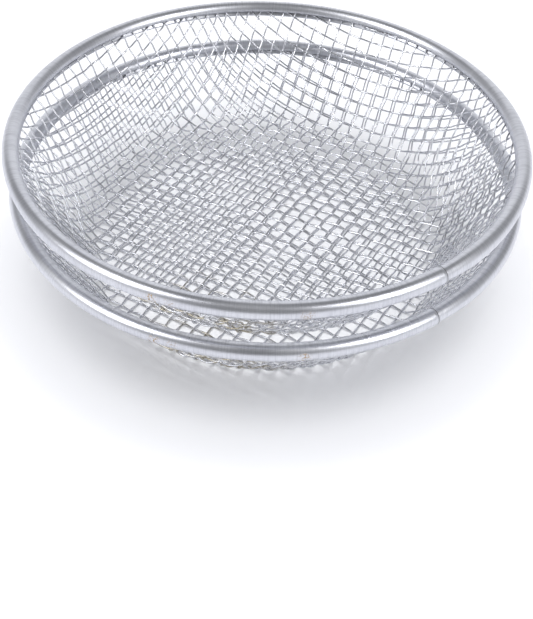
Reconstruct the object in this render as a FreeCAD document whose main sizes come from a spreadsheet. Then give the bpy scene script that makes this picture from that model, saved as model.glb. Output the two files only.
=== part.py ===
import FreeCAD, Part

import math
import os

import Sketcher

# A nested pair of round soil sieves, in millimetres.
# Each sieve is a bowl of woven steel wire. The edge of the mesh is folded over a thick wire hoop,
# and a strip of thin sheet, rolled to a C-section tube, is closed round the hoop and the fold.
# The pair stands on Z = 0 with its axis on Z. The seams of the rims face front right (-Y, +X).

# Alias, value, what it is. Angles are in degrees.
DIMENSIONS = [
    ("rim_diameter", 250.0, "outside diameter over the rim"),
    ("tube_diameter", 7.9, "outside diameter of the rolled rim tube"),
    ("sheet_thickness", 0.4, "sheet of the rim strip"),
    ("hoop_wire", 2.2, "wire of the hoop inside the rim"),
    ("mesh_wire", 0.9, "wire of the mesh"),
    ("fold_gap", 0.1, "clearance between the hoop and the folded mesh"),
    ("swage_gap", 0.05, "clearance between the tucked end and the tube round it"),
    ("bowl_depth", 47.5, "from the middle of the rim down to the middle of the mesh base"),
    ("flat_radius", 83.0, "flat part of the base"),
    ("corner_radius", 10.0, "bend from base to wall, at the middle of the mesh"),
    ("slit_low", 222.0, "lower lip of the C-section, from outward round over the top"),
    ("slit_high", 178.5, "upper lip of the C-section"),
    ("tucked_slit_low", 229.5, "lower lip of the tucked end, cut back to clear the turned-in lip"),
    ("tucked_slit_high", 156.0, "upper lip of the tucked end, cut back to clear the mesh"),
    ("lip_slope", 58.0, "slope of the turned-in lower lip, along the outside of the mesh wall"),
    ("lip_start", 1.35, "inner end of the turned-in lip, along the wall from the hoop's middle"),
    ("lip_end", 3.55, "outer end of the turned-in lip, where it meets the lower lip"),
    ("lip_gap", 0.05, "clearance between the turned-in lip and the mesh"),
    ("seam_azimuth", -52.5, "where the two ends of the strip meet"),
    ("tuck_angle", 4.0, "length of the tucked end, as an angle about Z"),
    ("taper_start", 1.6, "narrow end of the taper past the seam, as an angle about Z"),
    ("taper_end", 8.0, "wide end of the taper past the seam, as an angle about Z"),
    ("nest_spacing", 24.0, "how much higher the upper sieve stands than the lower one"),
]

# Values worked out from the ones above, as spreadsheet formulas.
DERIVED = [
    ("tube_radius", "=tube_diameter / 2"),
    ("tube_bore", "=tube_radius - sheet_thickness"),
    ("tucked_radius", "=tube_bore - swage_gap"),
    ("tucked_bore", "=tucked_radius - sheet_thickness"),
    ("ring_radius", "=rim_diameter / 2 - tube_radius"),
    ("rim_height", "=mesh_wire + bowl_depth"),
    ("hoop_radius", "=hoop_wire / 2"),
    ("fold_radius", "=hoop_radius + fold_gap + mesh_wire"),
    ("lip_face", "=fold_radius - mesh_wire - lip_gap"),
    ("lip_back", "=lip_face - sheet_thickness"),
]

SIEVES = ("lower", "upper")

# Outer radius, inner radius, lower lip and upper lip of the strip's two sections.
FULL = ("tube_radius", "tube_bore", "slit_low", "slit_high")
TUCKED = ("tucked_radius", "tucked_bore", "tucked_slit_low", "tucked_slit_high")

doc = FreeCAD.newDocument("SoilSieves")


def make_sheet():
    """The spreadsheet that drives every sub-part."""
    sheet = doc.addObject("Spreadsheet::Sheet", "dims")
    row = 1
    for alias, value, meaning in DIMENSIONS:
        sheet.set(f"A{row}", alias)
        sheet.set(f"B{row}", str(value))
        sheet.set(f"C{row}", meaning)
        sheet.setAlias(f"B{row}", alias)
        row += 1
    for alias, formula in DERIVED:
        sheet.set(f"A{row}", alias)
        sheet.set(f"B{row}", formula)
        sheet.setAlias(f"B{row}", alias)
        row += 1
    doc.recompute()
    return sheet


sheet = make_sheet()


def dim(alias):
    """The present value of a cell, for the first guess of a sketch."""
    return float(sheet.get(alias))


def bind(sketch, constraint, formula):
    """Adds a constraint under its own name and binds it to the sheet."""
    index = sketch.addConstraint(constraint)
    name = f"size_{index}"
    sketch.renameConstraint(index, name)
    sketch.setExpression(f"Constraints.{name}", formula)


def new_sketch(body, name, azimuth="0"):
    """A sketch in the half plane through Z at an azimuth, x outward and y up."""
    sketch = body.newObject("Sketcher::SketchObject", name)
    plane = next(f for f in body.Origin.OriginFeatures if f.Role == "XZ_Plane")
    sketch.AttachmentSupport = [(plane, "")]
    sketch.MapMode = "FlatFace"
    sketch.AttachmentOffset = FreeCAD.Placement(
        FreeCAD.Vector(0, 0, 0), FreeCAD.Rotation(FreeCAD.Vector(0, 1, 0), 1)
    )
    sketch.setExpression("AttachmentOffset.Rotation.Angle", azimuth)
    return sketch


def spin(body, sketch, name, angle):
    """Revolves a sketch about Z, anticlockwise from above."""
    feature = body.newObject("PartDesign::Revolution", name)
    feature.Profile = sketch
    feature.ReferenceAxis = (sketch, ["V_Axis"])
    feature.setExpression("Angle", angle)
    return feature


def point_at(centre, radius, degrees):
    """The point of a circle in the sketch plane at an angle from outward."""
    angle = math.radians(degrees)
    return centre + FreeCAD.Vector(radius * math.cos(angle), radius * math.sin(angle), 0)


def arc(centre, radius, start, end):
    """An arc that runs anticlockwise from start to end, in degrees."""
    circle = Part.Circle(centre, FreeCAD.Vector(0, 0, 1), radius)
    return Part.ArcOfCircle(circle, math.radians(start), math.radians(end))


def c_section(body, name, azimuth, size):
    """The rolled strip's section: a ring with a slit on the side of the bowl."""
    outer, bore, lower_lip, upper_lip = size
    sketch = new_sketch(body, name, azimuth)
    centre = FreeCAD.Vector(dim("ring_radius"), dim("rim_height"), 0)
    low = dim(lower_lip)
    high = dim(upper_lip)
    big, small = dim(outer), dim(bore)
    outside = sketch.addGeometry(arc(centre, big, low, high + 360), False)
    inside = sketch.addGeometry(arc(centre, small, low, high + 360), False)
    lips = {}
    for lip, angle in (("low", low), ("high", high)):
        ends = (point_at(centre, small, angle), point_at(centre, big, angle))
        lips[lip] = sketch.addGeometry(Part.LineSegment(*ends), False)
    start, end, middle = 1, 2, 3
    for lip, corner in (("low", start), ("high", end)):
        sketch.addConstraint(Sketcher.Constraint("Coincident", lips[lip], start, inside, corner))
        sketch.addConstraint(Sketcher.Constraint("Coincident", lips[lip], end, outside, corner))
    sketch.addConstraint(Sketcher.Constraint("Coincident", inside, middle, outside, middle))
    axis = -1
    for kind, place in (("DistanceX", "ring_radius"), ("DistanceY", "rim_height")):
        rule = Sketcher.Constraint(kind, axis, 1, outside, middle, dim(place))
        bind(sketch, rule, f"dims.{place}")
    bind(sketch, Sketcher.Constraint("Radius", outside, big), f"dims.{outer}")
    bind(sketch, Sketcher.Constraint("Radius", inside, small), f"dims.{bore}")
    for lip, alias in (("low", lower_lip), ("high", upper_lip)):
        angle = FreeCAD.Units.Quantity(f"{dim(alias)} deg")
        rule = Sketcher.Constraint("Angle", axis, 1, lips[lip], start, angle)
        bind(sketch, rule, f"dims.{alias} * 1 deg")
    return sketch


def lip_section(body, name, azimuth):
    """The strip's lower edge, turned into the tube along the outside of the mesh wall."""
    sketch = new_sketch(body, name, azimuth)
    slope = math.radians(dim("lip_slope"))
    corners = (
        ("lip_face", "lip_start"),
        ("lip_face", "lip_end"),
        ("lip_back", "lip_end"),
        ("lip_back", "lip_start"),
    )
    points = []
    for aside, along in corners:
        x = dim("ring_radius") - dim(aside) * math.sin(slope) - dim(along) * math.cos(slope)
        y = dim("rim_height") + dim(aside) * math.cos(slope) - dim(along) * math.sin(slope)
        points.append(FreeCAD.Vector(x, y, 0))
    lines = []
    for start, end in zip(points, points[1:] + points[:1]):
        lines.append(sketch.addGeometry(Part.LineSegment(start, end), False))
    for line, after in zip(lines, lines[1:] + lines[:1]):
        sketch.addConstraint(Sketcher.Constraint("Coincident", line, 2, after, 1))
    sine, cosine = "sin(dims.lip_slope * 1 deg)", "cos(dims.lip_slope * 1 deg)"
    for line, point, (aside, along) in zip(lines, points, corners):
        across = f"dims.ring_radius - dims.{aside} * {sine} - dims.{along} * {cosine}"
        height = f"dims.rim_height + dims.{aside} * {cosine} - dims.{along} * {sine}"
        bind(sketch, Sketcher.Constraint("DistanceX", -1, 1, line, 1, point.x), across)
        bind(sketch, Sketcher.Constraint("DistanceY", -1, 1, line, 1, point.y), height)
    return sketch


def make_rim(sieve):
    """The rolled strip: one end is swaged smaller and tucked into the other end."""
    body = doc.addObject("PartDesign::Body", f"{sieve}_rim")
    seam = "dims.seam_azimuth * 1 deg"
    taper_end = f"{seam} + dims.taper_end * 1 deg"
    whole_turn = "360 deg - dims.taper_end * 1 deg"
    whole = c_section(body, "tube_section", taper_end, FULL)
    spin(body, whole, "tube", whole_turn)
    lip = lip_section(body, "lip_section", taper_end)
    spin(body, lip, "turned_lip", whole_turn)

    taper_start = f"{seam} + dims.taper_start * 1 deg"
    wide = c_section(body, "taper_wide", taper_end, FULL)
    narrow = c_section(body, "taper_narrow", taper_start, TUCKED)
    taper = body.newObject("PartDesign::AdditiveLoft", "taper")
    taper.Profile = narrow
    taper.Sections = [wide]
    taper.Ruled = True

    tuck_start = f"{seam} - dims.tuck_angle * 1 deg"
    tucked = c_section(body, "tucked_section", tuck_start, TUCKED)
    tuck = "dims.tuck_angle * 1 deg + dims.taper_start * 1 deg"
    body.Tip = spin(body, tucked, "tucked_end", tuck)
    return body


def make_hoop(sieve):
    """The closed wire hoop in the middle of the rim tube."""
    hoop = doc.addObject("Part::Torus", f"{sieve}_hoop")
    hoop.setExpression("Radius1", "dims.ring_radius")
    hoop.setExpression("Radius2", "dims.hoop_radius")
    return hoop


def make_mesh_layer(sieve, family, side):
    """One family of wires as a closed skin one wire thick, on one side of the mesh's middle.

    side is 1 for the layer inside the bowl and -1 for the one outside it. The section runs along
    the base, round the bend, up the wall, over the hoop and down to the hoop's outer side.
    """
    body = doc.addObject("PartDesign::Body", f"{sieve}_{family}_wires")
    sketch = new_sketch(body, "section")
    wire = dim("mesh_wire")
    bend = FreeCAD.Vector(dim("flat_radius"), wire + dim("corner_radius"), 0)
    fold = FreeCAD.Vector(dim("ring_radius"), dim("rim_height"), 0)
    span = fold.sub(bend)
    # The wall is the tangent that crosses between the bend and the fold.
    crossing = math.asin((dim("corner_radius") + dim("fold_radius")) / span.Length)
    slope = math.degrees(math.atan2(span.y, span.x) + crossing)

    faces = []
    for offset in (0, side):
        bend_radius = dim("corner_radius") - offset * wire
        fold_radius = dim("fold_radius") + offset * wire
        height = wire + offset * wire
        foot = FreeCAD.Vector(0, height, 0)
        heel = FreeCAD.Vector(bend.x, height, 0)
        toe = point_at(bend, bend_radius, slope - 90)
        top = point_at(fold, fold_radius, slope + 90)
        base = sketch.addGeometry(Part.LineSegment(foot, heel), False)
        corner = sketch.addGeometry(arc(bend, bend_radius, -90, slope - 90), False)
        wall = sketch.addGeometry(Part.LineSegment(toe, top), False)
        over = sketch.addGeometry(arc(fold, fold_radius, 0, slope + 90), False)
        faces.append((base, corner, wall, over))
        sketch.addConstraint(Sketcher.Constraint("Tangent", base, 2, corner, 1))
        sketch.addConstraint(Sketcher.Constraint("Tangent", corner, 2, wall, 1))
        sketch.addConstraint(Sketcher.Constraint("Tangent", wall, 2, over, 2))
        sketch.addConstraint(Sketcher.Constraint("PointOnObject", base, 1, -2))
        bend_size = f"dims.corner_radius - {offset} * dims.mesh_wire"
        fold_size = f"dims.fold_radius + {offset} * dims.mesh_wire"
        bind(sketch, Sketcher.Constraint("Radius", corner, bend_radius), bend_size)
        bind(sketch, Sketcher.Constraint("Radius", over, fold_radius), fold_size)
        places = (
            (corner, "DistanceX", bend.x, "dims.flat_radius"),
            (corner, "DistanceY", bend.y, "dims.mesh_wire + dims.corner_radius"),
            (over, "DistanceX", fold.x, "dims.ring_radius"),
            (over, "DistanceY", fold.y, "dims.rim_height"),
        )
        for curve, kind, value, formula in places:
            bind(sketch, Sketcher.Constraint(kind, -1, 1, curve, 3, value), formula)

    middle, skin = faces
    start = 1
    ends = []
    for first, last in ((middle[0], skin[0]), (middle[3], skin[3])):
        line = Part.LineSegment(sketch.getPoint(first, start), sketch.getPoint(last, start))
        end = sketch.addGeometry(line, False)
        sketch.addConstraint(Sketcher.Constraint("Coincident", end, 1, first, start))
        sketch.addConstraint(Sketcher.Constraint("Coincident", end, 2, last, start))
        ends.append(end)
    sketch.addConstraint(Sketcher.Constraint("Horizontal", ends[1]))
    bind(sketch, Sketcher.Constraint("DistanceY", -1, 1, ends[1], 1, fold.y), "dims.rim_height")
    body.Tip = spin(body, sketch, "bowl", "360 deg")
    return body


def make_sieve(sieve, lift):
    """The sub-parts of one sieve, raised together by a formula."""
    parts = [make_rim(sieve), make_hoop(sieve)]
    parts.append(make_mesh_layer(sieve, "warp", 1))
    parts.append(make_mesh_layer(sieve, "weft", -1))
    for part in parts:
        height = lift
        if part.TypeId == "Part::Torus":
            height = f"{lift} + dims.rim_height"
        part.setExpression("Placement.Base.z", height)
        part.Label = part.Name
    return parts


subparts = make_sieve(SIEVES[0], "0") + make_sieve(SIEVES[1], "dims.nest_spacing")
doc.recompute()

for thing in doc.Objects:
    if "Invalid" in thing.State or "Error" in thing.State:
        raise RuntimeError(f"{thing.Name} failed: {thing.State}")

os.makedirs("parts", exist_ok=True)
for part in subparts:
    shape = part.Shape
    if shape.isNull() or not shape.isValid():
        raise RuntimeError(f"{part.Label} has no valid shape")
    box = shape.BoundBox
    print(f"{part.Label}: {len(shape.Solids)} solid, {shape.Volume:.0f} mm3,",
          f"X {box.XMin:.2f} to {box.XMax:.2f}, Z {box.ZMin:.2f} to {box.ZMax:.2f}")
    shape.exportStep(f"parts/{part.Label}.step")
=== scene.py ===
import math

import bpy
import numpy as np
from mathutils import Matrix, Vector


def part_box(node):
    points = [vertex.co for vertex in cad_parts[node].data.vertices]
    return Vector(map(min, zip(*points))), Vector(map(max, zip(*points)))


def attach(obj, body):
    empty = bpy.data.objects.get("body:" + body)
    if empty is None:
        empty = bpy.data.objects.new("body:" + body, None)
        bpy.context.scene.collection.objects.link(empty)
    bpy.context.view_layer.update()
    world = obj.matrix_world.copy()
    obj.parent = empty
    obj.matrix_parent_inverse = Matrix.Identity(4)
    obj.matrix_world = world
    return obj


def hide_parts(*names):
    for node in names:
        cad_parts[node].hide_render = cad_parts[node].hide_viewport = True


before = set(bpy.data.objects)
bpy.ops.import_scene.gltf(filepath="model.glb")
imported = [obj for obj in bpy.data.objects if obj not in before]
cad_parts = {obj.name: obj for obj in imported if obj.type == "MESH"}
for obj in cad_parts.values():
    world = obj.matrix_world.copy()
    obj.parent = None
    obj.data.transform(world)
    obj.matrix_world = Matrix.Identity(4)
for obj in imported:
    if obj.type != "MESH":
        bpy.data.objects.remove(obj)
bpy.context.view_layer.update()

# Everything is in metres, in the frame of the CAD model: Z up, -Y to the front.

# ---------------------------------------------------------------- sizes
# The rim's tube, ring and heights come from the frame. The rest are the mesh's own sizes.
RIM_LOW, RIM_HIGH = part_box("lower_rim")
UPPER_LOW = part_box("upper_rim")[0]
TUBE_RADIUS = (RIM_HIGH.z - RIM_LOW.z) / 2
RING_RADIUS = RIM_HIGH.x - TUBE_RADIUS
RIM_HEIGHT = (RIM_HIGH.z + RIM_LOW.z) / 2
LIFT = {"lower": 0.0, "upper": UPPER_LOW.z - RIM_LOW.z}

# Mesh: base, bend, straight wall, and a fold over the hoop inside the rim.
WIRE = 0.0009
PITCH = 0.00664
FLAT_RADIUS = 0.0830
BEND_RADIUS = 0.010
HOOP_RADIUS = 0.0011
FOLD_GAP = 0.0001
FOLD_RADIUS = HOOP_RADIUS + FOLD_GAP + WIRE
FOLD_TURN = math.radians(110)
BASE_HEIGHT = WIRE
# Plan direction of the warp, and the plan place of one crossing near the middle of the base.
WARP_DIRECTION = math.radians(-29.9)
WEAVE_START = np.array([-0.00147, 0.0040])

# Rim strip. The slit's lips are in degrees round the tube, from outward over the top.
SHEET = 0.0004
SLIT_LOW = 222.0
SLIT_HIGH = 178.5
TUCKED_SLIT_LOW = 229.5
TUCKED_SLIT_HIGH = 156.0
SWAGE_GAP = 0.00005
# The turned-in lip lies along the mesh wall, between two distances from the hoop's middle. The
# edge of its back stands this much further in.
LIP_GAP = 0.00005
LIP_START = 0.00135
LIP_END = 0.0033
LIP_BEVEL = 0.00012
# Angles about Z: the seam, and from it the tucked end and the taper's narrow and wide ends.
SEAM = math.radians(-52.5)
TUCK_END = math.radians(-4.0)
TAPER_START = math.radians(1.6)
TAPER_END = math.radians(8.0)

# Where in plan the mesh has a brownish bloom, and the plan azimuth in degrees and the strength of
# each group of rust specks on the outside of a rim.
BLOOM_PLACE = (-0.030, -0.095)
RUST_GROUPS = ((-110.8, 0.9), (-107.0, 0.4), (-81.5, 0.75))


# ---------------------------------------------------------------- bowl surface
class Bowl:
    """The middle surface of the mesh, as a curve from the centre out that is spun about Z.

    s is the distance along that curve: base, bend, straight wall, and the fold over the hoop.
    """

    def __init__(self):
        rise = RIM_HEIGHT - BASE_HEIGHT - BEND_RADIUS
        run = RING_RADIUS - FLAT_RADIUS
        span = math.hypot(run, rise)
        reach = BEND_RADIUS + FOLD_RADIUS
        self.slope = math.atan2(rise, run) + math.asin(reach / span)
        self.bend_start = FLAT_RADIUS
        self.wall_start = FLAT_RADIUS + BEND_RADIUS * self.slope
        self.fold_start = self.wall_start + math.sqrt(span**2 - reach**2)

    def section(self, s, folded):
        """Radius, height and the inward normal's two parts at distances s from the centre."""
        s = np.asarray(s, float)
        bend = np.clip((s - self.bend_start) / BEND_RADIUS, 0, self.slope)
        wall = np.clip(s - self.wall_start, 0, None)
        if folded:
            wall = np.minimum(wall, self.fold_start - self.wall_start)
        r = np.minimum(s, self.bend_start) + BEND_RADIUS * np.sin(bend)
        r = r + wall * math.cos(self.slope)
        z = BASE_HEIGHT + BEND_RADIUS * (1 - np.cos(bend)) + wall * math.sin(self.slope)
        lean = bend
        if folded:
            over = np.clip((s - self.fold_start) / FOLD_RADIUS, 0, None)
            lean = bend - over
            r = r + FOLD_RADIUS * (np.sin(self.slope) - np.sin(self.slope - over))
            z = z + FOLD_RADIUS * (np.cos(self.slope - over) - np.cos(self.slope))
        return r, z, -np.sin(lean), np.cos(lean)

    def place(self, q, folded=False):
        """Points and normals of the surface for flat positions q, whose length is s."""
        q = np.asarray(q, float)
        s = np.linalg.norm(q, axis=-1)
        r, z, inward, up = self.section(s, folded)
        way = q / np.maximum(s, 1e-9)[..., None]
        points = np.concatenate([way * r[..., None], z[..., None]], -1)
        normals = np.concatenate([way * inward[..., None], up[..., None]], -1)
        return points, normals


BOWL = Bowl()


# ---------------------------------------------------------------- drape of the mesh
NET_REACH = 25
NET_EDGE = BOWL.fold_start + 2 * PITCH


def knot(left, below, corner):
    """The node one pitch from two neighbours along the surface, by Newton's method."""
    ends = BOWL.place(np.stack([left, below]))[0]
    q = left + below - corner
    step = 1e-7
    for _ in range(10):
        tries = np.stack([q, q + [step, 0], q + [0, step]])
        gaps = BOWL.place(tries)[0][:, None, :] - ends[None, :, :]
        error = (gaps**2).sum(-1) - PITCH**2
        if np.abs(error[0]).max() < 1e-12:
            break
        slope = (error[1:] - error[0]).T / step
        move = np.linalg.solve(slope, error[0])
        q = q - move * min(1, PITCH / (np.linalg.norm(move) + 1e-12))
    return q


def drape():
    """Flat positions of the crossings of a square mesh pressed into the bowl.

    The wires keep their pitch and the cells shear, as in a net with fixed knots. Two wires cross
    at WEAVE_START and run straight out, and every other crossing follows from two neighbours.
    """
    size = 2 * NET_REACH + 1
    net = np.full((size, size, 2), np.nan)
    warp = np.array([math.cos(WARP_DIRECTION), math.sin(WARP_DIRECTION)])
    weft = np.array([-warp[1], warp[0]])
    for k in range(-NET_REACH, NET_REACH + 1):
        net[NET_REACH + k, NET_REACH] = WEAVE_START + k * PITCH * warp
        net[NET_REACH, NET_REACH + k] = WEAVE_START + k * PITCH * weft
    for across in (1, -1):
        for along in (1, -1):
            for i in range(1, NET_REACH + 1):
                for j in range(1, NET_REACH + 1):
                    a, b = NET_REACH + across * i, NET_REACH + along * j
                    corner = net[a - across, b - along]
                    left, below = net[a - across, b], net[a, b - along]
                    far = np.linalg.norm([left, below], axis=1)
                    if np.isnan(far).any() or far.min() > NET_EDGE:
                        continue
                    net[a, b] = knot(left, below, corner)
    return net


def relax_knots(net, seed):
    """Small, smooth irregularities of a real weave."""
    rng = np.random.default_rng(seed)
    wobble = 0.00008
    shake = rng.normal(0, wobble, net.shape)
    drift = np.zeros(net.shape)
    i, j = np.meshgrid(np.arange(net.shape[0]), np.arange(net.shape[1]), indexing="ij")
    for _ in range(6):
        fi, fj, phase = rng.uniform(0.05, 0.3), rng.uniform(0.05, 0.3), rng.uniform(0, 6.28)
        way = rng.normal(0, 1, 2)
        drift += np.sin(fi * i + fj * j + phase)[..., None] * way * wobble
    return net + shake + drift


# ---------------------------------------------------------------- wires
SAMPLES = 6
SIDES = 8


def smooth_line(points, per_span):
    """A Catmull-Rom curve through points, with the index of each sample along them."""
    before = 2 * points[0] - points[1]
    after = 2 * points[-1] - points[-2]
    p = np.vstack([before, points, after])
    t = np.arange(per_span) / per_span
    out, index = [], []
    for k in range(len(points) - 1):
        a, b, c, d = p[k:k + 4, None, :]
        u = t[:, None]
        curve = 0.5 * (2 * b + (c - a) * u + (2 * a - 5 * b + 4 * c - d) * u**2
                       + (3 * b - a - 3 * c + d) * u**3)
        out.append(curve)
        index.append(k + t)
    out.append(points[-1:])
    index.append([len(points) - 1])
    return np.vstack(out), np.concatenate(index)


def crimp(turns):
    """Height of a woven wire, in wire radii: over at even turns, under at odd, ramps between.

    A little of the third harmonic flattens the crowns and steepens the ramps.
    """
    third = -0.06
    wave = np.cos(math.pi * turns) + third * np.cos(3 * math.pi * turns)
    return wave / (1 + third)


def wire_line(knots, first_over, side):
    """Centre line and normals of one wire through its crossings."""
    q, index = smooth_line(knots, SAMPLES)
    s = np.linalg.norm(q, axis=1)
    end = BOWL.fold_start + FOLD_RADIUS * FOLD_TURN
    inside = np.flatnonzero(s < end)
    if len(inside) < 2:
        return None
    q, index = q[inside[0]:inside[-1] + 1], index[inside[0]:inside[-1] + 1]
    points, normals = BOWL.place(q, folded=True)
    lift = side * first_over * crimp(index) * WIRE / 2
    return points + normals * lift[:, None], normals


def tube(points, normals, radius, sides):
    """Vertices and quads of a closed round tube along a line."""
    ahead = np.gradient(points, axis=0)
    ahead /= np.linalg.norm(ahead, axis=1)[:, None]
    up = normals - ahead * (normals * ahead).sum(1)[:, None]
    up /= np.linalg.norm(up, axis=1)[:, None]
    right = np.cross(ahead, up)
    angle = np.arange(sides) * 2 * math.pi / sides
    ring = (np.cos(angle)[None, :, None] * up[:, None, :]
            + np.sin(angle)[None, :, None] * right[:, None, :])
    verts = (points[:, None, :] + radius * ring).reshape(-1, 3)
    n = len(points)
    k, m = np.meshgrid(np.arange(n - 1), np.arange(sides), indexing="ij")
    nxt = (m + 1) % sides
    quads = np.stack([k * sides + m, k * sides + nxt, (k + 1) * sides + nxt,
                      (k + 1) * sides + m], -1).reshape(-1, 4)
    first, last = len(verts), len(verts) + 1
    verts = np.vstack([verts, points[:1], points[-1:]])
    m = np.arange(sides)
    nxt = (m + 1) % sides
    caps = [np.stack([nxt, m, np.full(sides, first)], -1),
            np.stack([(n - 1) * sides + m, (n - 1) * sides + nxt, np.full(sides, last)], -1)]
    return verts, quads, np.vstack(caps)


def make_mesh(name, verts, faces):
    """A smooth-shaded object from vertices and faces."""
    mesh = bpy.data.meshes.new(name)
    mesh.from_pydata(verts.tolist(), [], faces)
    mesh.polygons.foreach_set("use_smooth", [True] * len(mesh.polygons))
    mesh.update()
    piece = bpy.data.objects.new(name, mesh)
    bpy.context.scene.collection.objects.link(piece)
    return piece


def weave_family(net, family):
    """All the wires of one family as one mesh. The warp runs along the net's first index."""
    verts, faces, count = [], [], 0
    side = 1 if family == "warp" else -1
    for line in range(net.shape[0]):
        knots = net[:, line] if family == "warp" else net[line]
        known = np.flatnonzero(~np.isnan(knots[:, 0]))
        if len(known) < 3:
            continue
        start = known[0]
        knots = knots[start:known[-1] + 1]
        first_over = 1 if (start + line) % 2 else -1
        centre = wire_line(knots, first_over, side)
        if centre is None or len(centre[0]) < 4:
            continue
        v, quads, caps = tube(*centre, WIRE / 2, SIDES)
        verts.append(v)
        faces += (quads + count).tolist() + (caps + count).tolist()
        count += len(v)
    return np.vstack(verts), faces


# ---------------------------------------------------------------- rim
# Points of the section's arc and lip, and steps over the tucked end, the taper and the rest.
ARC_POINTS = 44
LIP_POINTS = 7
TUCK_STEPS, TAPER_STEPS, RING_STEPS = 16, 20, 530


def rim_section(grown):
    """The strip's section as a closed loop, outside then inside, about the tube's centre.

    grown is 1 for the full tube and 0 for the tucked end. The lower edge of the full tube is
    turned in along the outside of the mesh wall. That lip shrinks away over the taper's wide half.
    """
    tucked = TUBE_RADIUS - SHEET - SWAGE_GAP
    outer = tucked + (TUBE_RADIUS - tucked) * grown
    low = math.radians(TUCKED_SLIT_LOW + (SLIT_LOW - TUCKED_SLIT_LOW) * grown)
    high = math.radians(TUCKED_SLIT_HIGH + (SLIT_HIGH - TUCKED_SLIT_HIGH) * grown + 360)
    psi = low + (high - low) * np.linspace(0, 1, ARC_POINTS)
    ring = np.stack([np.cos(psi), np.sin(psi)], -1)
    out, back = ring * outer, ring * (outer - SHEET)

    slope = BOWL.slope
    aside = np.array([-math.sin(slope), math.cos(slope)])
    along = np.array([-math.cos(slope), -math.sin(slope)])
    face = FOLD_RADIUS - WIRE - LIP_GAP
    reach = np.linspace(LIP_START, LIP_END, LIP_POINTS)[:, None]
    lip_out = face * aside + reach * along
    lip_back = (face - SHEET) * aside + (reach - LIP_BEVEL) * along
    shown = max(0.0, 2 * grown - 1)
    lip_out = out[:1] + (lip_out - out[:1]) * shown
    lip_back = back[:1] + (lip_back - back[:1]) * shown
    return np.vstack([lip_out, out, back[::-1], lip_back[::-1]])


def rim_mesh():
    """The rolled strip as one closed skin, its tucked end inside its other end."""
    turn = np.concatenate([
        np.linspace(TUCK_END, TAPER_START, TUCK_STEPS, endpoint=False),
        np.linspace(TAPER_START, TAPER_END, TAPER_STEPS, endpoint=False),
        np.linspace(TAPER_END, 2 * math.pi, RING_STEPS),
    ])
    rows = []
    for phi in turn:
        grown = (phi - TAPER_START) / (TAPER_END - TAPER_START)
        loop = rim_section(min(max(grown, 0.0), 1.0))
        a = SEAM + phi
        r = RING_RADIUS + loop[:, 0]
        rows.append(np.stack([r * math.cos(a), r * math.sin(a), RIM_HEIGHT + loop[:, 1]], -1))
    verts = np.vstack(rows)
    around = len(rows[0])
    faces = []
    for k in range(len(turn) - 1):
        for m in range(around):
            n = (m + 1) % around
            faces.append((k * around + m, (k + 1) * around + m, (k + 1) * around + n,
                          k * around + n))
    last = (len(turn) - 1) * around
    for m in range(around // 2 - 1):
        a, b = m, around - 1 - m
        faces.append((a, a + 1, b - 1, b))
        faces.append((last + b, last + b - 1, last + a + 1, last + a))
    return verts, faces


# ---------------------------------------------------------------- materials
# Colours of the sheet, the wire and the floor vary between a darker and a lighter one.
SHEET_COLOURS = (0.62, 0.63, 0.68, 1), (0.69, 0.70, 0.745, 1)
WIRE_COLOURS = (0.62, 0.63, 0.67, 1), (0.73, 0.74, 0.78, 1)
PAPER_COLOURS = (0.80, 0.805, 0.83, 1), (0.81, 0.815, 0.84, 1)
STREAK_COLOUR = (0.38, 0.39, 0.43, 1)
RUST_COLOUR = (0.30, 0.19, 0.08, 1)
# Colour of the painted shade in the seam's gap.
SEAM_SHADE_COLOUR = (0.05, 0.05, 0.055, 1)
BLOOM_COLOUR = (0.42, 0.37, 0.26, 1)


def new_material(name):
    """A material with its node tree and shader."""
    mat = bpy.data.materials.new(name)
    mat.use_nodes = True
    return mat, mat.node_tree, mat.node_tree.nodes["Principled BSDF"]


def add_node(tree, kind, **settings):
    """A node of a kind, with its properties set."""
    node = tree.nodes.new(kind)
    for key, value in settings.items():
        setattr(node, key, value)
    return node


def feed(tree, socket, value):
    """Links an output to a socket, or sets the socket to a constant."""
    if isinstance(value, bpy.types.NodeSocket):
        tree.links.new(value, socket)
    else:
        socket.default_value = value


def math_node(tree, operation, *values):
    """The result of an operation on outputs or constants."""
    node = add_node(tree, "ShaderNodeMath", operation=operation)
    for socket, value in zip(node.inputs, values):
        feed(tree, socket, value)
    return node.outputs[0]


def map_range(tree, value, low, high, to_low, to_high, smooth=True):
    """A value taken from one range to another, clamped, with soft ends if smooth."""
    kind = "SMOOTHSTEP" if smooth else "LINEAR"
    node = add_node(tree, "ShaderNodeMapRange", interpolation_type=kind)
    for socket, entry in zip(node.inputs, (value, low, high, to_low, to_high)):
        feed(tree, socket, entry)
    return node.outputs[0]


def mix_colour(tree, factor, first, second):
    """The first colour at factor 0 and the second at 1."""
    node = add_node(tree, "ShaderNodeMix", data_type="RGBA")
    feed(tree, node.inputs[0], factor)
    feed(tree, node.inputs[6], first)
    feed(tree, node.inputs[7], second)
    return node.outputs[2]


def noise(tree, vector, scale, detail):
    """Noise of a number of cells per metre of the vector."""
    node = add_node(tree, "ShaderNodeTexNoise")
    feed(tree, node.inputs["Vector"], vector)
    node.inputs["Scale"].default_value = scale
    node.inputs["Detail"].default_value = detail
    return node.outputs[0]


def stretch(tree, vector, scale):
    """A vector with each of its parts multiplied by its own factor."""
    node = add_node(tree, "ShaderNodeVectorMath", operation="MULTIPLY")
    feed(tree, node.inputs[0], vector)
    node.inputs[1].default_value = scale
    return node.outputs[0]


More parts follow.
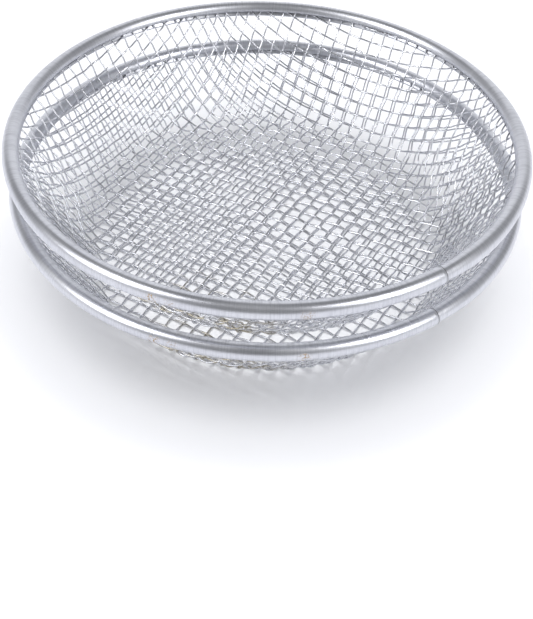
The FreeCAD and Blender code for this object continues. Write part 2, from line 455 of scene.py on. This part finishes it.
def add_bump(tree, shader, height, strength, distance):
    """Roughens the shader's normal by a height."""
    bump = add_node(tree, "ShaderNodeBump")
    bump.inputs["Strength"].default_value = strength
    bump.inputs["Distance"].default_value = distance
    feed(tree, bump.inputs["Height"], height)
    feed(tree, shader.inputs["Normal"], bump.outputs[0])


def around_ring(tree):
    """Object position, the same as arc length, distance out and height, and the plan azimuth."""
    place = add_node(tree, "ShaderNodeTexCoord").outputs["Object"]
    parts = add_node(tree, "ShaderNodeSeparateXYZ")
    feed(tree, parts.inputs[0], place)
    x, y, z = parts.outputs
    angle = math_node(tree, "ARCTAN2", y, x)
    arc = math_node(tree, "MULTIPLY", angle, RING_RADIUS)
    length = add_node(tree, "ShaderNodeVectorMath", operation="LENGTH")
    feed(tree, length.inputs[0], stretch(tree, place, (1, 1, 0)))
    whole = add_node(tree, "ShaderNodeCombineXYZ")
    for socket, value in zip(whole.inputs, (arc, length.outputs["Value"], z)):
        feed(tree, socket, value)
    return place, whole.outputs[0], angle


def rust_specks(tree, place, ring, angle):
    """Where the outside of the rim is specked with rust: two small groups and a faint one."""
    parts = add_node(tree, "ShaderNodeSeparateXYZ")
    feed(tree, parts.inputs[0], ring)
    outside = RING_RADIUS + 0.78 * TUBE_RADIUS
    outward = map_range(tree, parts.outputs[1], outside, outside + 0.0005, 0.0, 1.0)
    total = 0.0
    for azimuth, strength in RUST_GROUPS:
        away = math_node(tree, "SUBTRACT", angle, math.radians(azimuth))
        away = math_node(tree, "ABSOLUTE", away)
        group = map_range(tree, away, 0.006, 0.030, strength, 0.0)
        total = math_node(tree, "ADD", total, group)
    spots = map_range(tree, noise(tree, place, 1100, 2), 0.50, 0.62, 0.0, 1.0)
    rust = math_node(tree, "MULTIPLY", math_node(tree, "MULTIPLY", total, spots), outward)
    return math_node(tree, "MINIMUM", rust, 1.0)


def rim_metal():
    """Bright galvanised sheet: satin, faintly streaked across the strip, smudged and scratched,
    with painted shade along the seam.
    """
    mat, tree, shader = new_material("rim_metal")
    place, ring, angle = around_ring(tree)

    cloud = noise(tree, place, 28, 3)
    streak = noise(tree, stretch(tree, ring, (1400, 120, 120)), 1.0, 2)
    scratch = noise(tree, stretch(tree, ring, (60, 2600, 2600)), 1.0, 2)
    grain = noise(tree, place, 1800, 2)

    tone = map_range(tree, cloud, 0.3, 0.7, 0.0, 1.0)
    colour = mix_colour(tree, tone, *SHEET_COLOURS)
    marks = map_range(tree, streak, 0.40, 0.75, 0.0, 0.45, False)
    colour = mix_colour(tree, marks, colour, STREAK_COLOUR)
    rust = rust_specks(tree, place, ring, angle)
    colour = mix_colour(tree, rust, colour, RUST_COLOUR)
    # Painted shade: a thin dark line along the seam, in the gap where the outer end of the strip
    # laps over the tucked end.
    from_seam = math_node(tree, "ABSOLUTE", math_node(tree, "SUBTRACT", angle, SEAM))
    seam_shade = map_range(tree, from_seam, 0.0014, 0.0034, 0.85, 0.0)
    colour = mix_colour(tree, seam_shade, colour, SEAM_SHADE_COLOUR)
    feed(tree, shader.inputs["Base Color"], colour)
    feed(tree, shader.inputs["Metallic"], math_node(tree, "SUBTRACT", 1.0, rust))

    rough = map_range(tree, cloud, 0.3, 0.7, 0.29, 0.36)
    rough = math_node(tree, "ADD", rough, map_range(tree, streak, 0.3, 0.7, -0.03, 0.05, False))
    rough = math_node(tree, "ADD", rough, math_node(tree, "MULTIPLY", rust, 0.3))
    feed(tree, shader.inputs["Roughness"], rough)

    height = math_node(tree, "MULTIPLY", streak, 0.5)
    height = math_node(tree, "ADD", height, math_node(tree, "MULTIPLY", scratch, 0.35))
    height = math_node(tree, "ADD", height, math_node(tree, "MULTIPLY", grain, 0.3))
    add_bump(tree, shader, height, 0.25, 0.00002)
    return mat


def wire_metal():
    """Bright drawn wire, slightly duller in places, with a brownish bloom low at the front."""
    mat, tree, shader = new_material("wire_metal")
    place = add_node(tree, "ShaderNodeTexCoord").outputs["Object"]
    shader.inputs["Metallic"].default_value = 1.0
    cloud = noise(tree, place, 60, 2)
    grain = noise(tree, place, 2500, 2)
    tone = map_range(tree, cloud, 0.3, 0.7, 0.0, 1.0)
    colour = mix_colour(tree, tone, *WIRE_COLOURS)
    away = add_node(tree, "ShaderNodeVectorMath", operation="DISTANCE")
    feed(tree, away.inputs[0], stretch(tree, place, (1, 1, 0)))
    away.inputs[1].default_value = (*BLOOM_PLACE, 0)
    bloom = map_range(tree, away.outputs["Value"], 0.020, 0.055, 0.75, 0.0)
    patches = map_range(tree, noise(tree, place, 110, 3), 0.42, 0.60, 0.0, 1.0)
    bloom = math_node(tree, "MULTIPLY", bloom, patches)
    colour = mix_colour(tree, bloom, colour, BLOOM_COLOUR)
    feed(tree, shader.inputs["Base Color"], colour)
    feed(tree, shader.inputs["Roughness"], map_range(tree, cloud, 0.3, 0.7, 0.20, 0.28))
    add_bump(tree, shader, grain, 0.1, 0.00001)
    return mat


# ---------------------------------------------------------------- build
RIM_METAL = rim_metal()
WIRE_METAL = wire_metal()
NET = relax_knots(drape(), seed=11)


def make_sieve(sieve):
    """The visible pieces of one sieve, raised to its own height."""
    body = f"{sieve}_sieve"
    up = Matrix.Translation((0, 0, LIFT[sieve]))
    pieces = []
    for family in ("warp", "weft"):
        verts, faces = weave_family(NET, family)
        piece = make_mesh(f"{sieve}_woven_{family}", verts, faces)
        piece.data.materials.append(WIRE_METAL)
        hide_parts(f"{sieve}_{family}_wires")
        pieces.append(piece)
    verts, faces = rim_mesh()
    rim = make_mesh(f"{sieve}_rolled_rim", verts, faces)
    rim.data.materials.append(RIM_METAL)
    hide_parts(f"{sieve}_rim")
    pieces.append(rim)
    for piece in pieces:
        piece.data.transform(up)
        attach(piece, body)


for sieve in LIFT:
    make_sieve(sieve)
    hoop = bpy.data.objects[f"{sieve}_hoop"]
    hoop.data.materials.clear()
    hoop.data.materials.append(WIRE_METAL)


# ---------------------------------------------------------------- stage, camera, light
def make_floor():
    """A wide disc of pale, matt paper."""
    radius, sides = 15.0, 96
    edge = [(radius * math.cos(2 * math.pi * k / sides), radius * math.sin(2 * math.pi * k / sides),
             0) for k in range(sides)]
    mesh = bpy.data.meshes.new("floor")
    mesh.from_pydata(edge, [], [tuple(range(sides))])
    floor = bpy.data.objects.new("floor", mesh)
    bpy.context.scene.collection.objects.link(floor)
    mat, tree, shader = new_material("floor_paper")
    place = add_node(tree, "ShaderNodeTexCoord").outputs["Object"]
    fibre = noise(tree, place, 900, 3)
    tone = map_range(tree, noise(tree, place, 3, 2), 0.3, 0.7, 0.0, 1.0)
    colour = mix_colour(tree, tone, *PAPER_COLOURS)
    feed(tree, shader.inputs["Base Color"], colour)
    feed(tree, shader.inputs["Roughness"], map_range(tree, fibre, 0.3, 0.7, 0.75, 0.9))
    shader.inputs["Specular IOR Level"].default_value = 0.2
    floor.data.materials.append(mat)
    return floor


def make_camera():
    """A camera 0.5 m from the middle of the upper rim, at an angle above it.

    It is pitched down a little more than that angle, turned aside and rolled, all in degrees.
    """
    distance, height, pitch, yaw, roll = 0.500, 34.76, 44.48, 0.385, 2.47
    lens_in_long_sides = 1.6631664
    data = bpy.data.cameras.new("camera")
    data.sensor_width = 36.0
    data.lens = lens_in_long_sides * data.sensor_width
    camera = bpy.data.objects.new("camera", data)
    bpy.context.scene.collection.objects.link(camera)
    bpy.context.scene.camera = camera
    rim_centre = Vector((0, 0, RIM_HEIGHT + LIFT["upper"]))
    e = math.radians(height)
    back = Vector((0, -math.cos(e), math.sin(e)))
    place = Matrix.Translation(rim_centre + back * distance)
    turn = Matrix.Rotation(math.radians(-yaw), 4, "Z") @ Matrix.Rotation(
        math.radians(90 - pitch), 4, "X") @ Matrix.Rotation(math.radians(roll), 4, "Z")
    camera.matrix_world = place @ turn


def area_light(name, place, aim, size, power):
    """A rectangular light that faces a point."""
    data = bpy.data.lights.new(name, "AREA")
    data.shape = "RECTANGLE"
    data.size, data.size_y = size
    data.energy = power
    light = bpy.data.objects.new(name, data)
    bpy.context.scene.collection.objects.link(light)
    light.location = place
    light.rotation_euler = (Vector(aim) - Vector(place)).to_track_quat("-Z", "Y").to_euler()
    return light


def make_world():
    """A pale room, darker with height: a bright backdrop behind, a darker strip in front.

    The camera itself sees plain white.
    """
    world = bpy.data.worlds.new("studio")
    bpy.context.scene.world = world
    world.use_nodes = True
    tree = world.node_tree
    toward = add_node(tree, "ShaderNodeTexCoord").outputs["Generated"]
    parts = add_node(tree, "ShaderNodeSeparateXYZ")
    feed(tree, parts.inputs[0], toward)
    ahead, up = parts.outputs[1], parts.outputs[2]
    aside = math_node(tree, "ABSOLUTE", parts.outputs[0])
    backdrop = math_node(tree, "SUBTRACT", ahead, math_node(tree, "MULTIPLY", up, 0.25))
    backdrop = math_node(tree, "SUBTRACT", backdrop, math_node(tree, "MULTIPLY", aside, 0.3))
    backdrop = map_range(tree, backdrop, 0.33, 0.50, 0.0, 1.0)
    level = map_range(tree, up, 0.0, 0.40, 0.90, 0.34)
    level = math_node(tree, "MULTIPLY", level, map_range(tree, up, 0.7, 0.95, 1.0, 0.75))
    front = math_node(tree, "MULTIPLY", map_range(tree, ahead, -0.3, 0.0, 0.5, 0.0),
                      map_range(tree, aside, 0.12, 0.42, 1.0, 0.0))
    level = math_node(tree, "MULTIPLY", level, math_node(tree, "SUBTRACT", 1.0, front))
    bright = math_node(tree, "MULTIPLY", backdrop, 1.05)
    level = math_node(tree, "MAXIMUM", level, bright)
    seen = add_node(tree, "ShaderNodeLightPath").outputs["Is Camera Ray"]
    tint = mix_colour(tree, seen, (0.97, 0.98, 1.0, 1), (1, 1, 1, 1))
    level = math_node(tree, "MAXIMUM", level, seen)
    background = tree.nodes["Background"]
    feed(tree, background.inputs["Color"], tint)
    feed(tree, background.inputs["Strength"], level)


def make_light(floor):
    """Two softboxes, left and right of the sieves and high up, and an even soft top light.

    The softboxes pass the floor by, so that it is as bright near the sieves as far away. The top
    light makes no highlights.
    """
    aim = (0, 0, 0.05)
    passed_by = bpy.data.collections.new("passed_by")
    passed_by.objects.link(floor)
    passed_by.collection_objects[0].light_linking.link_state = "EXCLUDE"
    left = area_light("left_box", (-2.00, -0.80, 2.15), aim, (1.0, 2.2), 46.0)
    right = area_light("right_box", (1.90, -1.22, 2.12), aim, (0.9, 2.2), 42.0)
    for box in (left, right):
        box.light_linking.receiver_collection = passed_by
    data = bpy.data.lights.new("top", "SUN")
    data.energy = 3.4
    data.angle = math.radians(60)
    top = bpy.data.objects.new("top", data)
    bpy.context.scene.collection.objects.link(top)
    top.visible_glossy = False


floor = make_floor()
make_camera()
make_world()
make_light(floor)
bpy.context.scene.view_settings.view_transform = "Standard"
